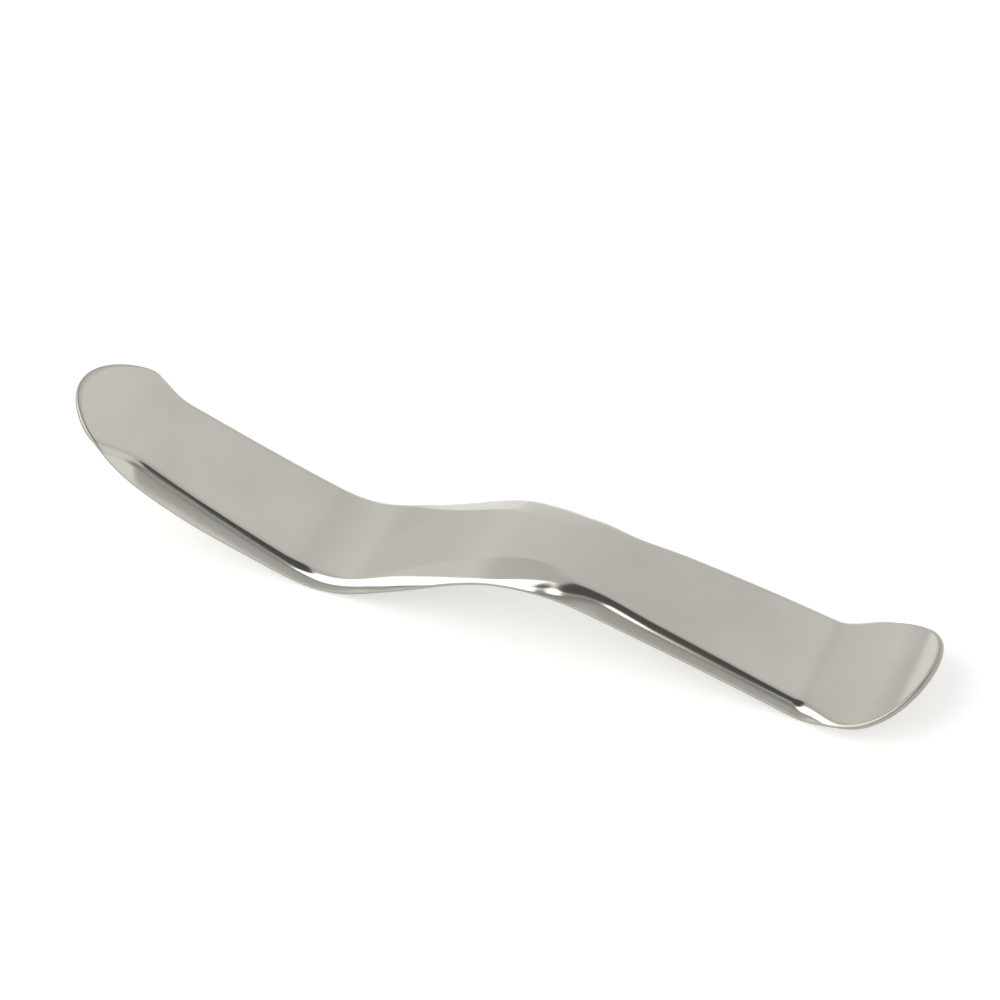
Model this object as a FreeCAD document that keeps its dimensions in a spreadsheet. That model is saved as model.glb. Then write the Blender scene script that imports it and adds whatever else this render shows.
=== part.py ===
import FreeCAD, Part
import math
import os
from types import SimpleNamespace

# Handheld retractor pressed from one strip of sheet steel. The strip has rounded ends, its two long
# edges are rolled down into lips, and it is bent up and down along its length: blade, rise, fall, toe.
# It lies on its two low bends, +Z up, length along X, blade end at -X, origin at the middle of its base.

# Driving dimensions, in millimetres and degrees. Runs are measured along the strip, between the
# middles of its bends; slopes are those of the strip's back, positive where it climbs towards +X.
DRIVING_SIZES = [
    ("gauge", 1.0, "thickness of the sheet"),
    ("rim_radius", 0.4, "rounding of the cut edge"),
    ("blade_run", 50.0, "blade end to the blade bend"),
    ("rise_run", 33.0, "blade bend to the crest"),
    ("fall_run", 48.0, "crest to the toe bend"),
    ("toe_run", 19.0, "toe bend to the toe end"),
    ("blade_end_slope", -29.5, "slope at the blade end"),
    ("blade_root_slope", -20.5, "slope of the blade at its bend"),
    ("rise_slope", 23.5, "slope between the blade bend and the crest"),
    ("crest_fall_slope", -13.0, "slope just past the crest"),
    ("toe_fall_slope", -16.5, "slope just before the toe bend"),
    ("toe_root_slope", -0.5, "slope just past the toe bend"),
    ("toe_end_slope", 43.0, "slope at the toe end"),
    ("blade_bend_radius", 14.5, "blade bend, over the back of the strip"),
    ("crest_radius", 32.0, "crest, over the back of the strip"),
    ("toe_bend_radius", 8.5, "toe bend, over the back of the strip"),
    ("blade_end_width", 30.6, "flat width of the strip towards the blade end"),
    ("blade_mid_width", 25.6, "flat width of the strip half way along the blade"),
    ("blade_root_width", 23.6, "flat width of the strip at the blade bend"),
    ("crest_width", 20.6, "flat width of the strip at the crest"),
    ("fall_mid_width", 22.2, "flat width of the strip half way down the fall"),
    ("toe_root_width", 23.6, "flat width of the strip at the toe bend"),
    ("toe_end_width", 25.0, "flat width of the strip towards the toe end"),
    ("blade_end_back", 12.0, "width between the lips towards the blade end"),
    ("blade_mid_back", 14.4, "width between the lips half way along the blade"),
    ("blade_root_back", 16.4, "width between the lips at the blade bend"),
    ("rise_mid_back", 17.0, "width between the lips half way up the rise"),
    ("rise_top_back", 18.2, "width between the lips near the top of the rise"),
    ("crest_back", 17.0, "width between the lips just before the crest"),
    ("fall_top_back", 11.4, "width between the lips at the start of the fall"),
    ("fall_mid_back", 13.8, "width between the lips half way down the fall"),
    ("toe_root_back", 16.2, "width between the lips at the toe bend"),
    ("toe_end_back", 16.0, "width between the lips towards the toe end"),
    ("blade_tip_length", 32.0, "length of the blade's rounded end"),
    ("toe_tip_length", 15.0, "length of the toe's rounded end"),
    ("lip_slope", 62.5, "how far the lips are turned down by their roll"),
    ("lip_curl", 1.6, "degrees that a lip goes on turning for each millimetre below its roll"),
    ("lip_inner_radius", 0.5, "radius inside the rolled lip"),
    ("fall_top_lip_radius", 1.8, "radius inside the lip where it is rolled softly, at the start of the fall"),
    ("back_crown", 1.5, "slope that the crowned back reaches beside a lip or shelf"),
    ("shelf_slope", 16.0, "how far the back is eased down beside the lips, over the rise and the crest"),
    ("shelf_width", 4.0, "width of that shelf where it is widest"),
    ("shelf_break", 1.2, "width of the soft break between the back and the shelf"),
    ("blade_lip_start", 1.0, "from the blade end to where the lips start"),
    ("blade_lip_full", 7.0, "from the blade end to where the lips are fully turned"),
    ("toe_lip_start", 8.0, "from the toe end to where the lips start"),
    ("toe_lip_full", 14.0, "from the toe end to where the lips are fully turned"),
    ("blade_fold_leaves", 16.0, "from the blade end to where the lips' folds start to swing out to the cut edge"),
    ("blade_fold_at_edge", 2.5, "from the blade end to where the folds have reached the cut edge"),
    ("toe_fold_leaves", 20.0, "from the toe end to where the folds start to swing out"),
    ("toe_fold_at_edge", 12.2, "from the toe end to where the folds run along the cut edge"),
    ("toe_fold_inset", 1.4, "how far inside the cut edge they run there"),
]

# Fineness of the form surface, in millimetres: spacing of its control points, the step of the sums
# that follow a curved line, and how far the surface runs on past the strip's cut edge
LENGTHWISE_SPACING = 2.0
CROSSWISE_SPACING = 0.8
LINE_STEP = 0.1
SURFACE_MARGIN = 2.0

# The folds of the two lips are kept at least this far apart where the strip's ends close in
LEAST_BACK_WIDTH = 4.0

# The cut edge goes round the strip in this many smoothly joined pieces
RIM_PIECES = 16

# How far the mesh that the finished piece's box is read from may lie from its surface, in millimetres
BOX_TOLERANCE = 0.01

# Where the shelf and the soft part of the lip come and go, in millimetres: the start and the end of each
# change, those that come in measured from the blade bend or the crest, those that go out from the crest
SHELF_TILTS_IN = (2.0, 12.0)
SHELF_TILTS_OUT = (-2.0, 12.0)
SHELF_WIDENS = (0.0, 26.0)
SHELF_NARROWS = (-3.0, 13.0)
LIP_SOFTENS = (-3.0, 5.0)
LIP_TIGHTENS = (7.0, 16.0)


def make_sheet(doc):
    sheet = doc.addObject("Spreadsheet::Sheet", "Sizes")
    for row, (name, value, meaning) in enumerate(DRIVING_SIZES, start=1):
        sheet.set("A%d" % row, name)
        sheet.set("B%d" % row, str(value))
        sheet.set("C%d" % row, meaning)
        sheet.setAlias("B%d" % row, name)
    doc.recompute()
    return sheet


def read_sizes(sheet):
    # the sheet's values, with the places along the strip that follow from them
    size = SimpleNamespace(**{name: float(sheet.get(name)) for name, value, meaning in DRIVING_SIZES})
    size.blade_bend = size.blade_run
    size.crest = size.blade_bend + size.rise_run
    size.toe_bend = size.crest + size.fall_run
    size.strip_length = size.toe_bend + size.toe_run
    return size


def ease(share):
    # runs smoothly from 0 to 1
    share = min(max(share, 0.0), 1.0)
    return share * share * (3 - 2 * share)


def eased_bend_length(radius, angle):
    # an eased bend is tightest at its middle, where it is half as tight again as an even one
    return max(1.5 * radius * abs(angle), LINE_STEP)


def slope_at(size, place):
    # slope of the strip's back at a distance along it: straight or slowly curving runs joined by
    # three eased bends
    blade_share = min(max(place / size.blade_bend, 0.0), 1.0)
    fall_share = ease((place - size.crest) / size.fall_run)
    toe_share = ease((place - size.toe_bend) / size.toe_run)
    slope = math.radians(size.blade_end_slope)
    slope += math.radians(size.blade_root_slope - size.blade_end_slope) * blade_share
    slope += math.radians(size.toe_fall_slope - size.crest_fall_slope) * fall_share
    slope += math.radians(size.toe_end_slope - size.toe_root_slope) * toe_share
    bends = [
        (size.blade_bend, size.blade_bend_radius, size.rise_slope - size.blade_root_slope),
        (size.crest, size.crest_radius, size.crest_fall_slope - size.rise_slope),
        (size.toe_bend, size.toe_bend_radius, size.toe_root_slope - size.toe_fall_slope),
    ]
    for middle, radius, turn in bends:
        angle = math.radians(turn)
        slope += angle * ease((place - middle) / eased_bend_length(radius, angle) + 0.5)
    return slope


def value_along(steps, place):
    # a value that is given at several places along the strip, and passes smoothly through them
    places = [step[0] for step in steps]
    values = [step[1] for step in steps]
    place = min(max(place, places[0]), places[-1])
    span = max(i for i in range(len(places) - 1) if place >= places[i])
    rates = [0.0] * len(places)
    for i in range(1, len(places) - 1):
        rates[i] = (values[i + 1] - values[i - 1]) / (places[i + 1] - places[i - 1])
    length = places[span + 1] - places[span]
    share = (place - places[span]) / length
    blend = ease(share)
    return (values[span] * (1 - blend) + values[span + 1] * blend
            + length * share * (1 - share) * (rates[span] * (1 - share) - rates[span + 1] * share))


def swing_share(place, leaves, arrives):
    # 0 where a fold keeps to its own line, 1 where it has swung out to the cut edge
    return ease((leaves - place) / (leaves - arrives))


def half_back_at(size, place):
    # half width between the lips; towards both ends their folds swing out to the cut edge
    steps = [
        (0.0, size.blade_end_back),
        (size.blade_bend / 2, size.blade_mid_back),
        (size.blade_bend, size.blade_root_back),
        (size.blade_bend + 0.45 * size.rise_run, size.rise_mid_back),
        (size.blade_bend + 0.75 * size.rise_run, size.rise_top_back),
        (size.blade_bend + 0.95 * size.rise_run, size.crest_back),
        (size.crest + 0.15 * size.fall_run, size.fall_top_back),
        (size.crest + 0.5 * size.fall_run, size.fall_mid_back),
        (size.toe_bend, size.toe_root_back),
        (size.strip_length, size.toe_end_back),
    ]
    half_back = value_along(steps, place) / 2
    edge = half_width_at(size, place)
    at_blade = swing_share(place, size.blade_fold_leaves, size.blade_fold_at_edge)
    at_toe = swing_share(size.strip_length - place, size.toe_fold_leaves, size.toe_fold_at_edge)
    swing = (edge - half_back) * at_blade + (edge - size.toe_fold_inset - half_back) * at_toe
    return max(half_back + swing, LEAST_BACK_WIDTH / 2)


def side_width_at(size, place):
    # half width of the flat strip, without its rounded ends
    steps = [
        (0.0, size.blade_end_width),
        (size.blade_bend / 2, size.blade_mid_width),
        (size.blade_bend, size.blade_root_width),
        (size.crest, size.crest_width),
        (size.crest + 0.5 * size.fall_run, size.fall_mid_width),
        (size.toe_bend, size.toe_root_width),
        (size.strip_length, size.toe_end_width),
    ]
    return value_along(steps, place) / 2


def half_width_at(size, place):
    # half width of the flat strip, with an elliptical end at each side
    blade_gap = max(1 - place / size.blade_tip_length, 0.0)
    toe_gap = max(1 - (size.strip_length - place) / size.toe_tip_length, 0.0)
    rounding = math.sqrt(max(1 - blade_gap ** 2, 0.0) * max(1 - toe_gap ** 2, 0.0))
    return side_width_at(size, place) * rounding


def lip_share_at(size, place):
    # 0 where the edge lies flat at the two ends, 1 where the lips are fully turned down
    from_toe = size.strip_length - place
    blade_share = ease((place - size.blade_lip_start) / (size.blade_lip_full - size.blade_lip_start))
    toe_share = ease((from_toe - size.toe_lip_start) / (size.toe_lip_full - size.toe_lip_start))
    return blade_share * toe_share


def change_share(place, origin, change):
    # 0 before a change, 1 after it
    start, end = change
    return ease((place - origin - start) / (end - start))


def lip_outer_radius_at(size, place):
    # the lip is rolled tightly, but softly at the start of the fall
    softening = change_share(place, size.crest, LIP_SOFTENS) * (1 - change_share(place, size.crest, LIP_TIGHTENS))
    return size.gauge + size.lip_inner_radius + (size.fall_top_lip_radius - size.lip_inner_radius) * softening


def shelf_slope_at(size, place):
    share = change_share(place, size.blade_bend, SHELF_TILTS_IN)
    share *= 1 - change_share(place, size.crest, SHELF_TILTS_OUT)
    return math.radians(size.shelf_slope) * share


def shelf_width_at(size, place):
    share = change_share(place, size.blade_bend, SHELF_WIDENS)
    share *= 1 - change_share(place, size.crest, SHELF_NARROWS)
    return size.shelf_width * share


class Line:
    # a curve in a plane that starts level at 0, 0 and is followed by its slope

    def __init__(self, slope_of, start, end):
        self.start = start
        self.count = math.ceil((end - start) / LINE_STEP)
        self.across = [0.0]
        self.up = [0.0]
        for i in range(self.count):
            slope = slope_of(start + (i + 0.5) * LINE_STEP)
            self.across.append(self.across[-1] + math.cos(slope) * LINE_STEP)
            self.up.append(self.up[-1] + math.sin(slope) * LINE_STEP)

    def at(self, place):
        steps = (place - self.start) / LINE_STEP
        i = min(max(int(steps), 0), self.count - 1)
        share = steps - i
        return (self.across[i] + share * (self.across[i + 1] - self.across[i]),
                self.up[i] + share * (self.up[i + 1] - self.up[i]))


def section_line(size, place, reach):
    # half of the strip's cross-section, from its middle outwards; up here is the depth below the back
    share = lip_share_at(size, place)
    lip_start = half_back_at(size, place)
    shelf_start = lip_start - shelf_width_at(size, place)
    shelf_slope = shelf_slope_at(size, place)
    roll = math.radians(size.lip_slope) - shelf_slope
    roll_length = eased_bend_length(lip_outer_radius_at(size, place), math.radians(size.lip_slope))

    def slope_of(offset):
        slope = math.radians(size.back_crown) * min(offset / shelf_start, 1.0) ** 2
        slope += shelf_slope * ease((offset - shelf_start) / size.shelf_break)
        slope += roll * ease((offset - lip_start) / roll_length)
        slope += math.radians(size.lip_curl) * max(offset - lip_start - roll_length, 0.0)
        return share * slope

    return Line(slope_of, 0.0, reach)


def point_on_form(profile, section, slope, place, offset):
    # a point of the strip's back, from its distance along the strip and its offset from the middle
    along, height = profile.at(place)
    side, depth = section.at(abs(offset))
    return FreeCAD.Vector(along + depth * math.sin(slope), math.copysign(side, offset),
                          height - depth * math.cos(slope))


def rest_tilt(size, profile):
    # the angle that levels the strip on its two low bends, where the lips' edges touch the surface
    edge_points = []
    place = size.blade_tip_length
    while place < size.strip_length - size.toe_tip_length / 2:
        half_width = half_width_at(size, place)
        section = section_line(size, place, half_width + LINE_STEP)
        point = point_on_form(profile, section, slope_at(size, place), place, half_width)
        edge_points.append((place < size.crest, point.x, point.z))
        place += LENGTHWISE_SPACING
    tilt = 0.0
    for attempt in range(6):
        lowest = []
        for side in (True, False):
            turned = [(z * math.cos(tilt) + x * math.sin(tilt), x * math.cos(tilt) - z * math.sin(tilt))
                      for before_crest, x, z in edge_points if before_crest == side]
            lowest.append(min(turned))
        (blade_height, blade_x), (toe_height, toe_x) = lowest
        tilt -= math.atan2(toe_height - blade_height, toe_x - blade_x)
    return tilt


def knot_row(start, end, spacing):
    count = max(math.ceil((end - start) / spacing), 4)
    return [start + (end - start) * i / count for i in range(count + 1)]


def pole_places(knots):
    # where each control point of a cubic spline with these knots has its pull
    padded = [knots[0]] * 3 + knots + [knots[-1]] * 3
    return [sum(padded[i + 1:i + 4]) / 3 for i in range(len(padded) - 4)]


def form_surface(size):
    # the back of the pressed strip, a little larger than the strip itself
    start = -SURFACE_MARGIN
    end = size.strip_length + SURFACE_MARGIN
    widest = max(side_width_at(size, start + i * LENGTHWISE_SPACING)
                 for i in range(int((end - start) / LENGTHWISE_SPACING)))
    reach = widest + SURFACE_MARGIN
    profile = Line(lambda place: slope_at(size, place), start, end)
    tilt = rest_tilt(size, profile)
    along_knots = knot_row(start, end, LENGTHWISE_SPACING)
    across_knots = knot_row(-reach, reach, CROSSWISE_SPACING)
    across_places = pole_places(across_knots)
    poles = []
    for place in pole_places(along_knots):
        section = section_line(size, place, reach)
        slope = slope_at(size, place)
        poles.append([point_on_form(profile, section, slope, place, offset) for offset in across_places])
    levelled = FreeCAD.Rotation(FreeCAD.Vector(0, 1, 0), -math.degrees(tilt))
    poles = [[levelled.multVec(point) for point in row] for row in poles]
    surface = Part.BSplineSurface()
    surface.buildFromPolesMultsKnots(poles, end_weighted(along_knots), end_weighted(across_knots),
                                     along_knots, across_knots, False, False, 3, 3)
    return surface


def end_weighted(knots):
    return [4] + [1] * (len(knots) - 2) + [4]


def outline_points(size):
    # one side of the flat strip's outline: a quarter of an ellipse at each end, even steps between
    tip_steps = 12
    side_steps = 30
    places = [size.blade_tip_length * (1 - math.cos(math.pi / 2 * i / tip_steps)) for i in range(tip_steps)]
    straight = size.strip_length - size.blade_tip_length - size.toe_tip_length
    places += [size.blade_tip_length + straight * i / side_steps for i in range(side_steps)]
    places += [size.strip_length - size.toe_tip_length * (1 - math.cos(math.pi / 2 * i / tip_steps))
               for i in range(tip_steps, -1, -1)]
    return [(place, half_width_at(size, place)) for place in places]


def pressed_face(size):
    # the strip's back, cut to the flat strip's outline
    surface = form_surface(size)
    one_side = outline_points(size)
    other_side = [(place, -offset) for place, offset in reversed(one_side[1:-1])]
    outline = Part.Geom2d.BSplineCurve2d()
    outline.interpolate([FreeCAD.Base.Vector2d(*point) for point in one_side + other_side], True)
    start = outline.FirstParameter
    piece = (outline.LastParameter - start) / RIM_PIECES
    edges = [outline.toShape(surface, start + i * piece, start + (i + 1) * piece) for i in range(RIM_PIECES)]
    return Part.Face(surface, Part.Wire(edges))


def add_form(doc, size):
    form = doc.addObject("Part::Feature", "PressedBack")
    form.Label = "pressed back"
    form.Shape = pressed_face(size)
    return form


def add_sheet_metal(doc, form):
    # the sheet's thickness lies under the back
    metal = doc.addObject("Part::Offset", "SheetMetal")
    metal.Label = "sheet metal"
    metal.Source = form
    metal.Fill = True
    metal.setExpression("Value", "-<<Sizes>>.gauge")
    return metal


def add_retractor(doc, metal):
    # the finished piece, with both rims of its cut edge rounded
    body = doc.addObject("PartDesign::Body", "Retractor")
    body.Label = "retractor"
    body.BaseFeature = metal
    doc.recompute()
    rims = body.newObject("PartDesign::Fillet", "RoundedRims")
    blank = body.Group[0]
    gauge = float(doc.Sizes.get("gauge"))
    edges = ["Edge%d" % i for i, edge in enumerate(blank.Shape.Edges, start=1) if edge.Length > 2 * gauge]
    rims.Base = (blank, edges)
    rims.setExpression("Radius", "min(<<Sizes>>.rim_radius; 0.45 * <<Sizes>>.gauge)")
    body.Tip = rims
    doc.recompute()
    return body


def surface_box(piece):
    # the box of the finished surface, read from a fine mesh of it
    points = piece.Shape.tessellate(BOX_TOLERANCE)[0]
    return FreeCAD.BoundBox(min(p.x for p in points), min(p.y for p in points), min(p.z for p in points),
                            max(p.x for p in points), max(p.y for p in points), max(p.z for p in points))


def settle(doc, form, body):
    # puts the origin at the middle of the base of the finished piece
    box = surface_box(body)
    form.Placement.Base = FreeCAD.Vector(-(box.XMin + box.XMax) / 2, -(box.YMin + box.YMax) / 2, -box.ZMin)
    doc.recompute()


def check(doc, pieces):
    for item in doc.Objects:
        if "Invalid" in item.State or "Error" in item.State:
            raise RuntimeError("%s failed: %s" % (item.Label, item.State))
    for piece in pieces:
        if piece.Shape.isNull() or not piece.Shape.isValid():
            raise RuntimeError("%s has no valid shape" % piece.Label)


def write_parts(pieces):
    os.makedirs("parts", exist_ok=True)
    for piece in pieces:
        piece.Shape.exportStep("parts/%s.step" % piece.Label)


def main():
    doc = FreeCAD.newDocument("Retractor")
    sheet = make_sheet(doc)
    size = read_sizes(sheet)
    form = add_form(doc, size)
    metal = add_sheet_metal(doc, form)
    retractor = add_retractor(doc, metal)
    settle(doc, form, retractor)
    pieces = [retractor]
    check(doc, pieces)
    write_parts(pieces)
    box = surface_box(retractor)
    print("retractor %.2f x %.2f x %.2f mm, lowest %.3f" % (box.XLength, box.YLength, box.ZLength, box.ZMin))


main()
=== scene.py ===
import math

import bpy
import numpy as np
from mathutils import Matrix, Vector


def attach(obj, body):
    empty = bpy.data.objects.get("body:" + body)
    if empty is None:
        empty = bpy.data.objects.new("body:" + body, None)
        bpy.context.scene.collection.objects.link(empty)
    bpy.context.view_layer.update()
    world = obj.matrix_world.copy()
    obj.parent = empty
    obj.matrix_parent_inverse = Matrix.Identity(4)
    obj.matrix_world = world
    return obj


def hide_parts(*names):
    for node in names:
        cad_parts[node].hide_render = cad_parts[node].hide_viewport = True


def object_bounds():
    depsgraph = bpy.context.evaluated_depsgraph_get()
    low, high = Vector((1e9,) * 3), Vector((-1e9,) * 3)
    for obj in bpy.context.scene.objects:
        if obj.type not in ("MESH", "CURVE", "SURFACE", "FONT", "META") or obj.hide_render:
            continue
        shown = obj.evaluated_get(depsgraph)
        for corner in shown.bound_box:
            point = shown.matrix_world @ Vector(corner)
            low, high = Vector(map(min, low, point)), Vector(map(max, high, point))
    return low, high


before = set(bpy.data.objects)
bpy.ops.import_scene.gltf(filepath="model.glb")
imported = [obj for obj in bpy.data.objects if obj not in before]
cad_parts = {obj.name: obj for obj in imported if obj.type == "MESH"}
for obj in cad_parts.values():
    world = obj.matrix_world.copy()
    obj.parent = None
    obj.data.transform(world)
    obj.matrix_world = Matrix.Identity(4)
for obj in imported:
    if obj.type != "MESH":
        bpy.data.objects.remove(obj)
cadBox = [list(corner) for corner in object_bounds()]
print("frame loaded, box", cadBox)


# Shared helpers

def linearColour(hexCode):
    # sRGB hex, such as "#C8C7C1", to the linear values that Blender works in
    levels = [int(hexCode[i:i + 2], 16) / 255 for i in (1, 3, 5)]
    linear = [v / 12.92 if v <= 0.04045 else ((v + 0.055) / 1.055) ** 2.4 for v in levels]
    return (*linear, 1.0)


def addNode(tree, kind, settings=None, inputs=None):
    # one node; an input is a plain value or another node's output
    node = tree.nodes.new(kind)
    for name, value in (settings or {}).items():
        setattr(node, name, value)
    for name, value in (inputs or {}).items():
        if isinstance(value, bpy.types.NodeSocket):
            tree.links.new(value, node.inputs[name])
        else:
            node.inputs[name].default_value = value
    return node


def ease(share):
    share = np.clip(share, 0.0, 1.0)
    return share * share * (3 - 2 * share)


# The strip, in mm and degrees; slopes are of its back and positive where it climbs towards +X

strip = {
    "gauge": 1.0,
    "rimRadius": 0.4,
    "bladeRun": 50.0,
    "riseRun": 33.0,
    "fallRun": 48.0,
    "toeRun": 19.0,
    "bladeEndSlope": -29.5,
    "bladeRootSlope": -20.5,
    "riseSlope": 23.5,
    "crestFallSlope": -13.0,
    "toeFallSlope": -16.5,
    "toeRootSlope": -0.5,
    "toeEndSlope": 43.0,
    "bladeBendRadius": 14.5,
    "crestRadius": 32.0,
    "toeBendRadius": 8.5,
    "flatWidths": [30.6, 25.6, 23.6, 20.6, 22.2, 23.6, 25.0],  # blade end to toe end
    "lipWidths": [12.0, 14.4, 16.4, 17.0, 18.2, 17.0, 11.4, 13.8, 16.2, 16.0],  # between the lips
    "lipPlacesOnRise": (0.45, 0.75, 0.95),  # shares of the rise and of the fall
    "lipPlacesOnFall": (0.15, 0.5, 1.0),
    "bladeTipLength": 32.0,
    "toeTipLength": 15.0,
    "lipSlope": 62.5,
    "lipCurl": 1.6,  # degrees a millimetre, below the roll
    "lipInnerRadius": 0.5,
    "fallTopLipRadius": 1.8,
    "backCrown": 1.5,
    "shelfSlope": 16.0,  # the shelf beside the lips, over the rise and the crest
    "shelfWidth": 4.0,
    "shelfBreak": 1.2,
    "shelfTiltsIn": (2.0, 12.0),  # from the blade bend
    "shelfWidens": (0.0, 26.0),  # from the blade bend
    "shelfTiltsOut": (-2.0, 12.0),  # from the crest
    "shelfNarrows": (-3.0, 13.0),  # from the crest
    "lipSoftens": (-3.0, 5.0),  # from the crest
    "lipTightens": (7.0, 16.0),  # from the crest
    "bladeLipTurns": (1.0, 7.0),  # from the blade end
    "toeLipTurns": (8.0, 14.0),  # from the toe end
    "bladeFoldSwings": (2.5, 16.0),  # from the blade end
    "toeFoldSwings": (12.2, 20.0),  # from the toe end
    "toeFoldInset": 1.4,
    "leastBack": 4.0,
    "rimStartWear": 0.6,  # where the rounding of the rim begins; 1 on the rim itself
    "columns": 160,  # fineness of the mesh, from here on
    "bladeRows": 36,
    "sideRows": 150,
    "toeRows": 24,
    "rimSteps": 5,
    "sectionSteps": 96,
    "lineStep": 0.05,
    "lineMargin": 1.0,
    "normalStep": 0.02,
    "levellings": 3,
}

bladeBend = strip["bladeRun"]
crest = bladeBend + strip["riseRun"]
toeBend = crest + strip["fallRun"]
stripLength = toeBend + strip["toeRun"]
widthPlaces = [0.0, bladeBend / 2, bladeBend, crest, (crest + toeBend) / 2, toeBend, stripLength]
lipPlaces = [0.0, bladeBend / 2, bladeBend]
lipPlaces += [bladeBend + share * strip["riseRun"] for share in strip["lipPlacesOnRise"]]
lipPlaces += [crest + share * strip["fallRun"] for share in strip["lipPlacesOnFall"]]
lipPlaces += [stripLength]
easedPeak = 1.5  # an eased turn is at its tightest halfway, at this many times its mean rate


def slopeAt(place):
    # lengthwise slope of the back: slowly curving runs joined by three eased bends
    slope = np.full_like(place, math.radians(strip["bladeEndSlope"]))
    runs = [
        (strip["bladeRootSlope"] - strip["bladeEndSlope"], np.clip(place / bladeBend, 0, 1)),
        (strip["toeFallSlope"] - strip["crestFallSlope"], ease((place - crest) / strip["fallRun"])),
        (strip["toeEndSlope"] - strip["toeRootSlope"], ease((place - toeBend) / strip["toeRun"])),
    ]
    for turn, share in runs:
        slope += math.radians(turn) * share
    bends = [
        (bladeBend, strip["bladeBendRadius"], strip["riseSlope"] - strip["bladeRootSlope"]),
        (crest, strip["crestRadius"], strip["crestFallSlope"] - strip["riseSlope"]),
        (toeBend, strip["toeBendRadius"], strip["toeRootSlope"] - strip["toeFallSlope"]),
    ]
    for middle, radius, turn in bends:
        length = easedPeak * radius * abs(math.radians(turn))
        slope += math.radians(turn) * ease((place - middle) / length + 0.5)
    return slope


def halfAlong(place, places, widths):
    # half of a width that is given at several places and passes smoothly through them
    places, values = np.array(places), np.array(widths)
    rates = np.zeros(len(values))
    rates[1:-1] = (values[2:] - values[:-2]) / (places[2:] - places[:-2])
    place = np.clip(place, 0.0, stripLength)
    span = np.clip(np.searchsorted(places, place, side="right") - 1, 0, len(values) - 2)
    length = places[span + 1] - places[span]
    share = (place - places[span]) / length
    blend = ease(share)
    bow = length * share * (1 - share) * (rates[span] * (1 - share) - rates[span + 1] * share)
    return (values[span] * (1 - blend) + values[span + 1] * blend + bow) / 2


def changeShare(place, change):
    # 0 before a change, 1 after it
    return ease((place - change[0]) / (change[1] - change[0]))


def halfEdge(place):
    # half width of the flat strip, with its rounded ends
    bladeGap = np.clip(1 - place / strip["bladeTipLength"], 0.0, 1.0)
    toeGap = np.clip(1 - (stripLength - place) / strip["toeTipLength"], 0.0, 1.0)
    rounding = np.sqrt((1 - bladeGap ** 2) * (1 - toeGap ** 2))
    return halfAlong(place, widthPlaces, strip["flatWidths"]) * rounding


def lipLine(place):
    # where the lips' folds start; towards both ends they swing out to the cut edge
    back = halfAlong(place, lipPlaces, strip["lipWidths"])
    edge = halfEdge(place)
    atBlade = 1 - changeShare(place, strip["bladeFoldSwings"])
    atToe = 1 - changeShare(stripLength - place, strip["toeFoldSwings"])
    swing = (edge - back) * atBlade + (edge - strip["toeFoldInset"] - back) * atToe
    return np.maximum(back + swing, strip["leastBack"] / 2)


def lipShareAt(place):
    # 0 where the edge lies flat at the two ends, 1 where the lips are fully turned down
    fromToe = stripLength - place
    return changeShare(place, strip["bladeLipTurns"]) * changeShare(fromToe, strip["toeLipTurns"])


def sectionSlope(place, offset):
    # crosswise slope: a slightly crowned back, a shelf beside the crest's lips, then the rolled lip
    fromBend, fromCrest = place - bladeBend, place - crest
    softened = changeShare(fromCrest, strip["lipSoftens"])
    tightened = changeShare(fromCrest, strip["lipTightens"])
    tight, wide = strip["lipInnerRadius"], strip["fallTopLipRadius"]
    innerRadius = tight + (wide - tight) * softened * (1 - tightened)
    turn = math.radians(strip["lipSlope"])
    rollLength = easedPeak * (innerRadius + strip["gauge"]) * turn
    lipStart = lipLine(place)
    tiltedIn = changeShare(fromBend, strip["shelfTiltsIn"])
    tiltedOut = changeShare(fromCrest, strip["shelfTiltsOut"])
    tilted = math.radians(strip["shelfSlope"]) * tiltedIn * (1 - tiltedOut)
    widened = changeShare(fromBend, strip["shelfWidens"])
    narrowed = changeShare(fromCrest, strip["shelfNarrows"])
    shelfStart = lipStart - strip["shelfWidth"] * widened * (1 - narrowed)
    slope = math.radians(strip["backCrown"]) * np.minimum(offset / shelfStart, 1.0) ** 2
    slope += tilted * ease((offset - shelfStart) / strip["shelfBreak"])
    slope += (turn - tilted) * ease((offset - lipStart) / rollLength)
    slope += math.radians(strip["lipCurl"]) * np.maximum(offset - lipStart - rollLength, 0.0)
    return lipShareAt(place) * slope


lineStep, lineMargin = strip["lineStep"], strip["lineMargin"]
linePlaces = np.arange(-lineMargin, stripLength + lineMargin + lineStep, lineStep)
lineSlopes = slopeAt(linePlaces[:-1] + lineStep / 2)
lineAlong = np.concatenate([[0.0], np.cumsum(np.cos(lineSlopes) * lineStep)])
lineHeight = np.concatenate([[0.0], np.cumsum(np.sin(lineSlopes) * lineStep)])


def formPoint(place, offset):
    # points on the back; place runs along the strip and offset across it
    reach = np.abs(offset)
    side = np.zeros_like(reach)
    depth = np.zeros_like(reach)
    steps = strip["sectionSteps"]
    for step in range(steps):
        slope = sectionSlope(place, reach * (step + 0.5) / steps)
        side += np.cos(slope)
        depth += np.sin(slope)
    side *= reach / steps
    depth *= reach / steps
    slope = slopeAt(place)
    along = np.interp(place, linePlaces, lineAlong) + depth * np.sin(slope)
    height = np.interp(place, linePlaces, lineHeight) - depth * np.cos(slope)
    return np.stack([along, np.sign(offset) * side, height], -1)


def formNormal(place, offset):
    nudge = strip["normalStep"]
    alongStrip = formPoint(place + nudge, offset) - formPoint(place - nudge, offset)
    acrossStrip = formPoint(place, offset + nudge) - formPoint(place, offset - nudge)
    normal = np.cross(alongStrip, acrossStrip)
    return normal / np.linalg.norm(normal, axis=-1, keepdims=True)


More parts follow.
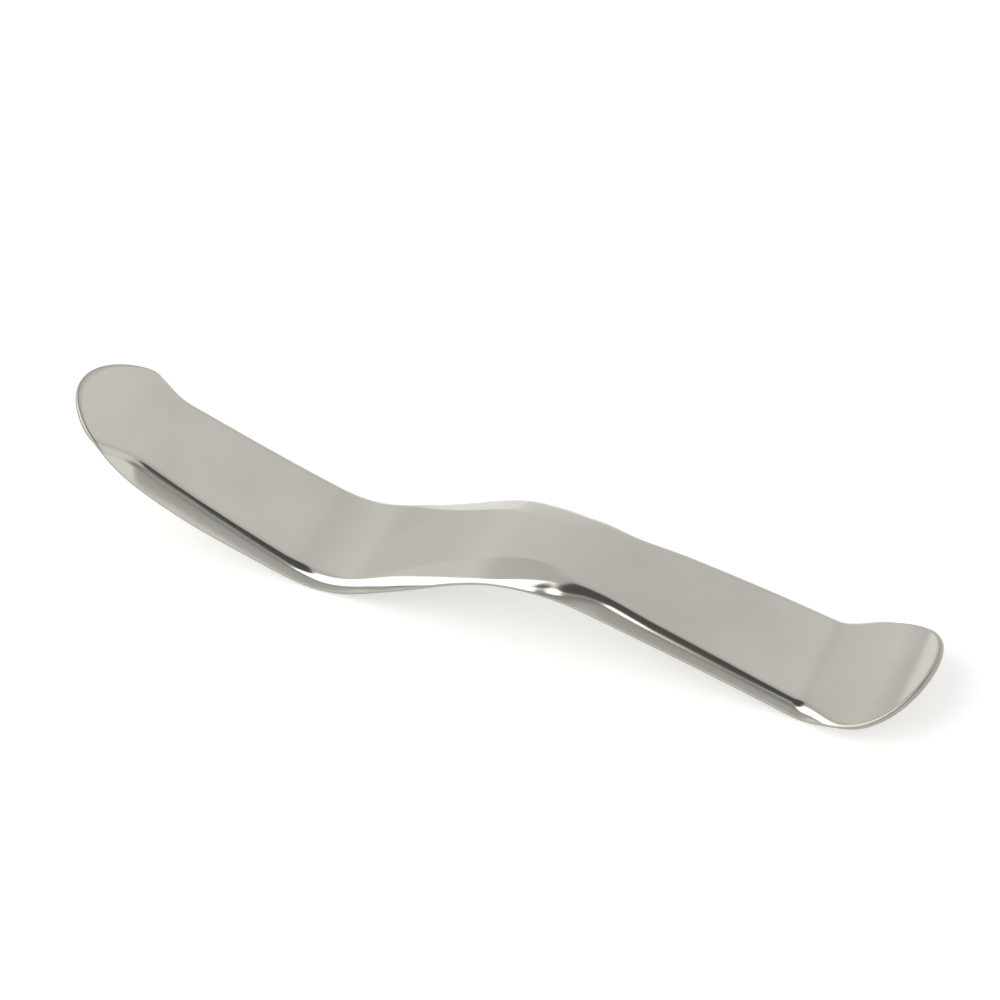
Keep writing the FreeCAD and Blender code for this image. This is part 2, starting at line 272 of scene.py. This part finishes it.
def outlineGrid(inset):
    # the flat strip as one grid with no pole: at each end a square grid is drawn round to half
    # a disc
    across = np.linspace(-1.0, 1.0, strip["columns"] + 1)
    bladeTip, toeTip = strip["bladeTipLength"], strip["toeTipLength"]
    places, shares = [], []
    for out in np.linspace(1.0, 0.0, strip["bladeRows"], endpoint=False):
        places.append(bladeTip - (bladeTip - inset) * out * np.sqrt(1 - across ** 2 / 2))
        shares.append(across * math.sqrt(1 - out * out / 2))
    for place in np.linspace(bladeTip, stripLength - toeTip, strip["sideRows"] + 1):
        places.append(np.full_like(across, place))
        shares.append(across)
    for out in np.linspace(0.0, 1.0, strip["toeRows"] + 1)[1:]:
        places.append(stripLength - toeTip + (toeTip - inset) * out * np.sqrt(1 - across ** 2 / 2))
        shares.append(across * math.sqrt(1 - out * out / 2))
    places = np.array(places)
    return places, np.array(shares) * (halfAlong(places, widthPlaces, strip["flatWidths"]) - inset)


def rimLoop(grid):
    # a grid's border, once round, anticlockwise seen from above
    return np.concatenate([grid[:-1, 0], grid[-1, :-1], grid[:0:-1, -1], grid[0, :0:-1]])


def buildStrip():
    gauge, rimRadius = strip["gauge"], strip["rimRadius"]
    places, offsets = outlineGrid(rimRadius)
    outerPlaces, outerOffsets = (rimLoop(grid) for grid in outlineGrid(0.0))
    innerPlaces, innerOffsets = rimLoop(places), rimLoop(offsets)
    back = formPoint(places, offsets)
    normals = formNormal(places, offsets)
    rows, columns = places.shape
    points = [back.reshape(-1, 3), (back - gauge * normals).reshape(-1, 3)]

    # rounded rim: two quarter turns with the rest of the cut edge between them
    turns = [math.pi / 2 * (i + 1) / strip["rimSteps"] for i in range(strip["rimSteps"])]
    rings = [(1 - math.sin(turn), rimRadius * (1 - math.cos(turn))) for turn in turns]
    rings += [(inwards, gauge - depth) for inwards, depth in reversed(rings)]
    for inwards, depth in rings:
        ringPlaces = outerPlaces + (innerPlaces - outerPlaces) * inwards
        ringOffsets = outerOffsets + (innerOffsets - outerOffsets) * inwards
        ringNormals = formNormal(ringPlaces, ringOffsets)
        points.append(formPoint(ringPlaces, ringOffsets) - depth * ringNormals)

    top = np.arange(rows * columns).reshape(rows, columns)
    under = top + rows * columns
    upward = [top[:-1, :-1], top[1:, :-1], top[1:, 1:], top[:-1, 1:]]
    downward = [under[:-1, :-1], under[:-1, 1:], under[1:, 1:], under[1:, :-1]]
    quads = [np.stack(corners, -1).reshape(-1, 4) for corners in (upward, downward)]
    rimStart = 2 * rows * columns
    loops = [rimLoop(top)]
    for ring in range(len(rings)):
        loops.append(rimStart + ring * len(loops[0]) + np.arange(len(loops[0])))
    loops.append(rimLoop(under))
    for upper, lower in zip(loops, loops[1:]):
        quads.append(np.stack([upper, lower, np.roll(lower, -1), np.roll(upper, -1)], -1))
    points = np.concatenate(points)
    quads = np.concatenate(quads)

    # levelled on its two low bends
    overFall = points[:, 0] > np.interp(crest, linePlaces, lineAlong)
    for levelling in range(strip["levellings"]):
        sides = (points[~overFall], points[overFall])
        bladeLow, toeLow = (side[side[:, 2].argmin()] for side in sides)
        tilt = -math.atan2(toeLow[2] - bladeLow[2], toeLow[0] - bladeLow[0])
        along, height = points[:, 0].copy(), points[:, 2].copy()
        points[:, 0] = along * math.cos(tilt) - height * math.sin(tilt)
        points[:, 2] = along * math.sin(tilt) + height * math.cos(tilt)

    # on its base, in the middle of the frame's box
    lowest, highest = points.min(0), points.max(0)
    points -= np.array([(lowest[0] + highest[0]) / 2, 0.0, lowest[2]])
    points /= 1000  # mm to m
    points[:, 0] += (cadBox[0][0] + cadBox[1][0]) / 2
    points[:, 2] += cadBox[0][2]

    mesh = bpy.data.meshes.new("retractor_sheet")
    mesh.from_pydata(points.tolist(), [], quads.tolist())
    mesh.validate()
    mesh.shade_smooth()

    # how close a point is to the cut edge, for the wear there
    rim = np.zeros(len(points))
    rim[rimStart:] = 1.0
    for loop in (loops[0], loops[-1]):
        rim[loop] = strip["rimStartWear"]
    wear = mesh.attributes.new("rimWear", "FLOAT", "POINT")
    wear.data.foreach_set("value", rim.astype(np.float32))
    return mesh


sheetMesh = buildStrip()
sheetPiece = bpy.data.objects.new("retractor_sheet", sheetMesh)
bpy.context.scene.collection.objects.link(sheetPiece)
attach(sheetPiece, "root")
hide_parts("retractor")
print("strip built,", len(sheetMesh.polygons), "faces")


# Finish: stainless sheet, pressed and then buffed bright

steel = {
    "colour": "#C3C2BB",  # warm grey of chromium steel
    "smudgeColour": "#BEBCB3",
    "rimColour": "#A6A49C",  # the cut edge, which the mop hardly reaches
    "roughness": 0.10,
    "roughnessSpread": 0.05,  # added in the hazy patches
    "lineRoughness": 0.03,  # added along the buffing lines
    "rimRoughness": 0.32,
    "buffSpacing": 0.35,  # mm across the buffing lines; the real 0.02 mm is too fine to show
    "buffLength": 14.0,
    "buffDepth": 0.0008,
    "buffStrength": 0.25,
    "buffNoise": {"Detail": 3.0, "Roughness": 0.6},
    "smudgeSize": 22.0,
    "smudgeNoise": {"Detail": 4.0, "Roughness": 0.55, "Distortion": 0.4},
    "smudgeCover": (0.45, 0.72),  # noise levels where a patch starts and where it is full
    "waveSize": 14.0,  # slow waves that pressing leaves in the sheet
    "waveDepth": 0.12,
    "waveNoise": {"Detail": 1.0},
}


def perMetre(millimetres):
    # noise scale for a feature of this size
    return 1000.0 / millimetres


def makePolishedSteel():
    # Polished stainless steel: the mops leave a near mirror that shows the studio, with the
    # faintest lengthwise lines, and hands leave hazy patches that only dull it
    material = bpy.data.materials.new("polished stainless steel, pressed and buffed")
    material.use_nodes = True
    tree = material.node_tree
    tree.nodes.clear()
    coords = addNode(tree, "ShaderNodeTexCoord").outputs["Object"]

    buffScale = [perMetre(steel[size]) for size in ("buffLength", "buffSpacing", "buffSpacing")]
    buffCoords = addNode(tree, "ShaderNodeMapping", inputs={"Vector": coords, "Scale": buffScale})
    buffLines = addNode(tree, "ShaderNodeTexNoise",
                        inputs={"Vector": buffCoords.outputs["Vector"], "Scale": 1.0,
                                **steel["buffNoise"]})
    smudges = addNode(tree, "ShaderNodeTexNoise",
                      inputs={"Vector": coords, "Scale": perMetre(steel["smudgeSize"]),
                              **steel["smudgeNoise"]})
    smudgeStart, smudgeFull = steel["smudgeCover"]
    smudgeMask = addNode(tree, "ShaderNodeMapRange", {"interpolation_type": "SMOOTHSTEP"},
                         {"Value": smudges.outputs["Fac"], "From Min": smudgeStart,
                          "From Max": smudgeFull})
    rim = addNode(tree, "ShaderNodeAttribute", {"attribute_name": "rimWear"})

    # roughness: polished base, a little more in the hazy patches, along the lines and on the rim
    hazy = addNode(tree, "ShaderNodeMapRange",
                   inputs={"Value": smudgeMask.outputs["Result"], "To Min": steel["roughness"],
                           "To Max": steel["roughness"] + steel["roughnessSpread"]})
    lined = addNode(tree, "ShaderNodeMath", {"operation": "MULTIPLY_ADD"},
                    {0: buffLines.outputs["Fac"], 1: steel["lineRoughness"],
                     2: hazy.outputs["Result"]})
    worn = addNode(tree, "ShaderNodeMix", {"data_type": "FLOAT"},
                   {"Factor": rim.outputs["Fac"], 2: lined.outputs["Value"], 3: steel["rimRoughness"]})

    # colour: the sheet, its hazy patches and the rim
    sheetColour = addNode(tree, "ShaderNodeMix", {"data_type": "RGBA"},
                          {"Factor": smudgeMask.outputs["Result"], 6: linearColour(steel["colour"]),
                           7: linearColour(steel["smudgeColour"])})
    colour = addNode(tree, "ShaderNodeMix", {"data_type": "RGBA"},
                     {"Factor": rim.outputs["Fac"], 6: sheetColour.outputs[2],
                      7: linearColour(steel["rimColour"])})

    # relief: the waves of the pressing, and the buffing lines on them
    waves = addNode(tree, "ShaderNodeTexNoise",
                    inputs={"Vector": coords, "Scale": perMetre(steel["waveSize"]),
                            **steel["waveNoise"]})
    pressed = addNode(tree, "ShaderNodeBump",
                      inputs={"Height": waves.outputs["Fac"], "Strength": 1.0,
                              "Distance": steel["waveDepth"] / 1000})
    bump = addNode(tree, "ShaderNodeBump",
                   inputs={"Height": buffLines.outputs["Fac"], "Strength": steel["buffStrength"],
                           "Distance": steel["buffDepth"] / 1000, "Normal": pressed.outputs["Normal"]})
    shader = addNode(tree, "ShaderNodeBsdfPrincipled",
                     inputs={"Base Color": colour.outputs[2], "Metallic": 1.0,
                             "Roughness": worn.outputs[0], "Normal": bump.outputs["Normal"]})
    addNode(tree, "ShaderNodeOutputMaterial", inputs={"Surface": shader.outputs["BSDF"]})
    return material


sheetMesh.materials.append(makePolishedSteel())
print("steel finished")


# Floor: pale and matt, lit so that it renders white away from the retractor's shadow

floorSettings = {
    "size": 6.0,  # m
    "colour": "#D2D2D0",
    "fill": 0.46,  # light of its own, for the rays that see it straight or mirrored
    "fillColour": "#FFFFFF",
}


def makeFloor():
    half = floorSettings["size"] / 2
    mesh = bpy.data.meshes.new("floor")
    corners = [(-half, -half, 0), (half, -half, 0), (half, half, 0), (-half, half, 0)]
    mesh.from_pydata(corners, [], [(0, 1, 2, 3)])
    material = bpy.data.materials.new("pale studio floor, matt paint")
    material.use_nodes = True
    tree = material.node_tree
    tree.nodes.clear()
    path = addNode(tree, "ShaderNodeLightPath")
    seen = addNode(tree, "ShaderNodeMath", {"operation": "ADD", "use_clamp": True},
                   {0: path.outputs["Is Camera Ray"], 1: path.outputs["Is Glossy Ray"]})
    seen = addNode(tree, "ShaderNodeMath", {"operation": "ADD", "use_clamp": True},
                   {0: seen.outputs["Value"], 1: path.outputs["Is Transmission Ray"]})
    strength = addNode(tree, "ShaderNodeMath", {"operation": "MULTIPLY"},
                       {0: seen.outputs["Value"], 1: floorSettings["fill"]})
    matt = addNode(tree, "ShaderNodeBsdfDiffuse",
                   inputs={"Color": linearColour(floorSettings["colour"])})
    glow = addNode(tree, "ShaderNodeEmission",
                   inputs={"Color": linearColour(floorSettings["fillColour"]),
                           "Strength": strength.outputs["Value"]})
    both = addNode(tree, "ShaderNodeAddShader",
                   inputs={0: matt.outputs["BSDF"], 1: glow.outputs["Emission"]})
    addNode(tree, "ShaderNodeOutputMaterial", inputs={"Surface": both.outputs["Shader"]})
    mesh.materials.append(material)
    floor = bpy.data.objects.new("floor", mesh)
    bpy.context.scene.collection.objects.link(floor)


makeFloor()
print("floor laid")


# Studio: pale walls, one big white panel at the front left, and a dark gap between it and the
# right side. Places are those on a map of the sky: across and back are both 0 overhead, and reach
# is 1 at the horizon.

studio = {
    "tint": (1.0, 0.995, 0.985, 1.0),  # a trace warmer than white
    "walls": [  # from left to right: the place, and the light there
        (-0.67, 0.82),
        (-0.44, 0.98),
        (-0.20, 0.92),
        (0.04, 0.83),
        (0.17, 0.98),
        (0.30, 1.04),
    ],
    "front": 0.38,
    "horizon": 0.62,
    "frontHeights": (0.25, 0.02),  # the front grows lighter from the one to the other
    "dusk": 0.18,  # how much the wall behind the gap darkens towards it
    "gap": 0.11,
    "panel": 2.4,
    "panelFlare": 0.05,  # how far the panel's right edge leans out, and between which places
    "panelFlares": (-0.33, -0.52),
    "panelFronts": [(0.25, -0.68), (1.6, -0.12)],  # its front edge follows two slanted lines
    # the edges of each part: what is measured, how that slants along the other direction, where the
    # part starts and where it is full
    "frontEdges": [
        ("back", 0.0, -0.40, -0.62),
        ("across", 0.0, 0.45, 0.20),
    ],
    "duskEdges": [
        ("back", 0.0, 0.36, 0.20),
        ("across", 0.0, 0.34, 0.22),
        ("across", 0.0, -0.45, -0.25),
        ("back", 0.0, -0.60, -0.30),
    ],
    "gapEdges": [  # its right side runs to a point, between the two edges that slant most
        ("across", 0.175, -0.072, -0.024),
        ("back", 0.0, 0.214, 0.166),
        ("back", -1.5, 0.304, 0.256),
        ("back", 0.0, -0.514, -0.466),
        ("back", 2.2, -0.632, -0.584),
    ],
    "panelEdges": [
        ("back", -0.457, -0.110, -0.134),
        ("flared", 0.0, -0.095, -0.107),
        ("pastFront", 0.0, -0.012, 0.012),
        ("reach", 0.0, 0.84, 0.78),
    ],
}


def makeStudio():
    world = bpy.data.worlds.new("studio")
    bpy.context.scene.world = world
    world.use_nodes = True
    tree = world.node_tree
    tree.nodes.clear()

    # each direction's place on the map
    direction = addNode(tree, "ShaderNodeTexCoord").outputs["Generated"]
    axes = addNode(tree, "ShaderNodeSeparateXYZ", inputs={"Vector": direction})
    height = addNode(tree, "ShaderNodeMath", {"operation": "MAXIMUM"},
                     {0: axes.outputs["Z"], 1: 0.0}).outputs[0]
    spread = addNode(tree, "ShaderNodeMath", {"operation": "ADD"}, {0: height, 1: 1.0}).outputs[0]
    across, back = [addNode(tree, "ShaderNodeMath", {"operation": "DIVIDE"},
                            {0: axes.outputs[axis], 1: spread}).outputs[0] for axis in "XY"]
    place = addNode(tree, "ShaderNodeCombineXYZ", inputs={"X": across, "Y": back}).outputs["Vector"]
    reach = addNode(tree, "ShaderNodeVectorMath", {"operation": "LENGTH"}, {0: place}).outputs["Value"]

    # the panel's flared right edge, and the two lines of its front edge
    flareStart, flareFull = studio["panelFlares"]
    flare = addNode(tree, "ShaderNodeMapRange", {"interpolation_type": "SMOOTHSTEP"},
                    {"Value": back, "From Min": flareStart, "From Max": flareFull,
                     "To Max": -studio["panelFlare"]}).outputs["Result"]
    flared = addNode(tree, "ShaderNodeMath", {"operation": "ADD"}, {0: across, 1: flare}).outputs[0]
    lines = [addNode(tree, "ShaderNodeMath", {"operation": "MULTIPLY_ADD"},
                     {0: across, 1: slant, 2: middle}).outputs[0]
             for slant, middle in studio["panelFronts"]]
    frontEdge = addNode(tree, "ShaderNodeMath", {"operation": "MINIMUM"},
                        {0: lines[0], 1: lines[1]}).outputs[0]
    pastFront = addNode(tree, "ShaderNodeMath", {"operation": "SUBTRACT"},
                        {0: back, 1: frontEdge}).outputs[0]
    measures = {"across": across, "back": back, "reach": reach, "flared": flared,
                "pastFront": pastFront}

    # walls: the ramp runs from 0 to 1 where the map runs from -1 to 1
    rampPlace = addNode(tree, "ShaderNodeMath", {"operation": "MULTIPLY_ADD"},
                        {0: across, 1: 0.5, 2: 0.5}).outputs[0]
    walls = addNode(tree, "ShaderNodeValToRGB", inputs={"Fac": rampPlace})
    stops = walls.color_ramp.elements
    while len(stops) < len(studio["walls"]):
        stops.new(0.5)
    for stop, (wallPlace, level) in zip(stops, studio["walls"]):
        stop.position = wallPlace / 2 + 0.5
        stop.color = (level, level, level, 1.0)
    light = addNode(tree, "ShaderNodeSeparateColor",
                    inputs={"Color": walls.outputs["Color"]}).outputs["Red"]
    frontStart, frontFull = studio["frontHeights"]
    frontLight = addNode(tree, "ShaderNodeMapRange", {"interpolation_type": "SMOOTHSTEP"},
                         {"Value": height, "From Min": frontStart, "From Max": frontFull,
                          "To Min": studio["front"], "To Max": studio["horizon"]}).outputs["Result"]

    # the parts lie over one another: each keeps a share of the light under it and adds its own
    parts = [
        ("front", 0.0, frontLight),
        ("dusk", 1.0 - studio["dusk"], 0.0),
        ("gap", 0.0, studio["gap"]),
        ("panel", 0.0, studio["panel"]),
    ]
    for name, keeps, adds in parts:
        share = 1.0
        for measure, slant, start, full in studio[name + "Edges"]:
            other = across if measure == "back" else back
            beside = addNode(tree, "ShaderNodeMath", {"operation": "MULTIPLY_ADD"},
                             {0: other, 1: -slant, 2: measures[measure]})
            inside = addNode(tree, "ShaderNodeMapRange", {"interpolation_type": "SMOOTHSTEP"},
                             {"Value": beside.outputs[0], "From Min": start, "From Max": full})
            share = addNode(tree, "ShaderNodeMath", {"operation": "MULTIPLY"},
                            {0: share, 1: inside.outputs["Result"]}).outputs[0]
        over = addNode(tree, "ShaderNodeMath", {"operation": "MULTIPLY_ADD"},
                       {0: light, 1: keeps, 2: adds}).outputs[0]
        light = addNode(tree, "ShaderNodeMix", {"data_type": "FLOAT"},
                        {0: share, 2: light, 3: over}).outputs[0]

    # the camera and the steel see the same walls
    background = addNode(tree, "ShaderNodeBackground",
                         inputs={"Color": studio["tint"], "Strength": light})
    addNode(tree, "ShaderNodeOutputWorld", inputs={"Surface": background.outputs["Background"]})


makeStudio()
print("studio lit")


# Camera, fitted to the photograph's outline

cameraView = {
    "azimuth": 25.776,  # degrees, from straight in front
    "elevation": 41.935,
    "roll": -3.608,
    "distance": 452.96,  # mm
    "target": (1.251, 0.0, 18.905),
    "lens": 108.0,
    "sensor": 36.0,
    "clip": (0.01, 20.0),  # m
}


def makeCamera():
    angles = [cameraView[name] for name in ("azimuth", "elevation", "roll")]
    azimuth, elevation, roll = (math.radians(angle) for angle in angles)
    outwards = math.cos(elevation)
    backwards = Vector((math.sin(azimuth) * outwards, -math.cos(azimuth) * outwards,
                        math.sin(elevation)))
    level = Vector((math.cos(azimuth), math.sin(azimuth), 0.0))
    upwards = backwards.cross(level)
    right = math.cos(roll) * level + math.sin(roll) * upwards
    upwards = math.cos(roll) * upwards - math.sin(roll) * level
    data = bpy.data.cameras.new("photo camera")
    data.lens = cameraView["lens"]
    data.sensor_width = cameraView["sensor"]
    data.clip_start, data.clip_end = cameraView["clip"]
    camera = bpy.data.objects.new("photo camera", data)
    turned = Matrix((right, upwards, backwards)).transposed().to_4x4()
    place = (Vector(cameraView["target"]) + backwards * cameraView["distance"]) / 1000
    camera.matrix_world = Matrix.Translation(place) @ turned
    bpy.context.scene.collection.objects.link(camera)
    bpy.context.scene.camera = camera


makeCamera()
bpy.context.scene.view_settings.view_transform = "Standard"
print("camera set")

bpy.context.view_layer.update()
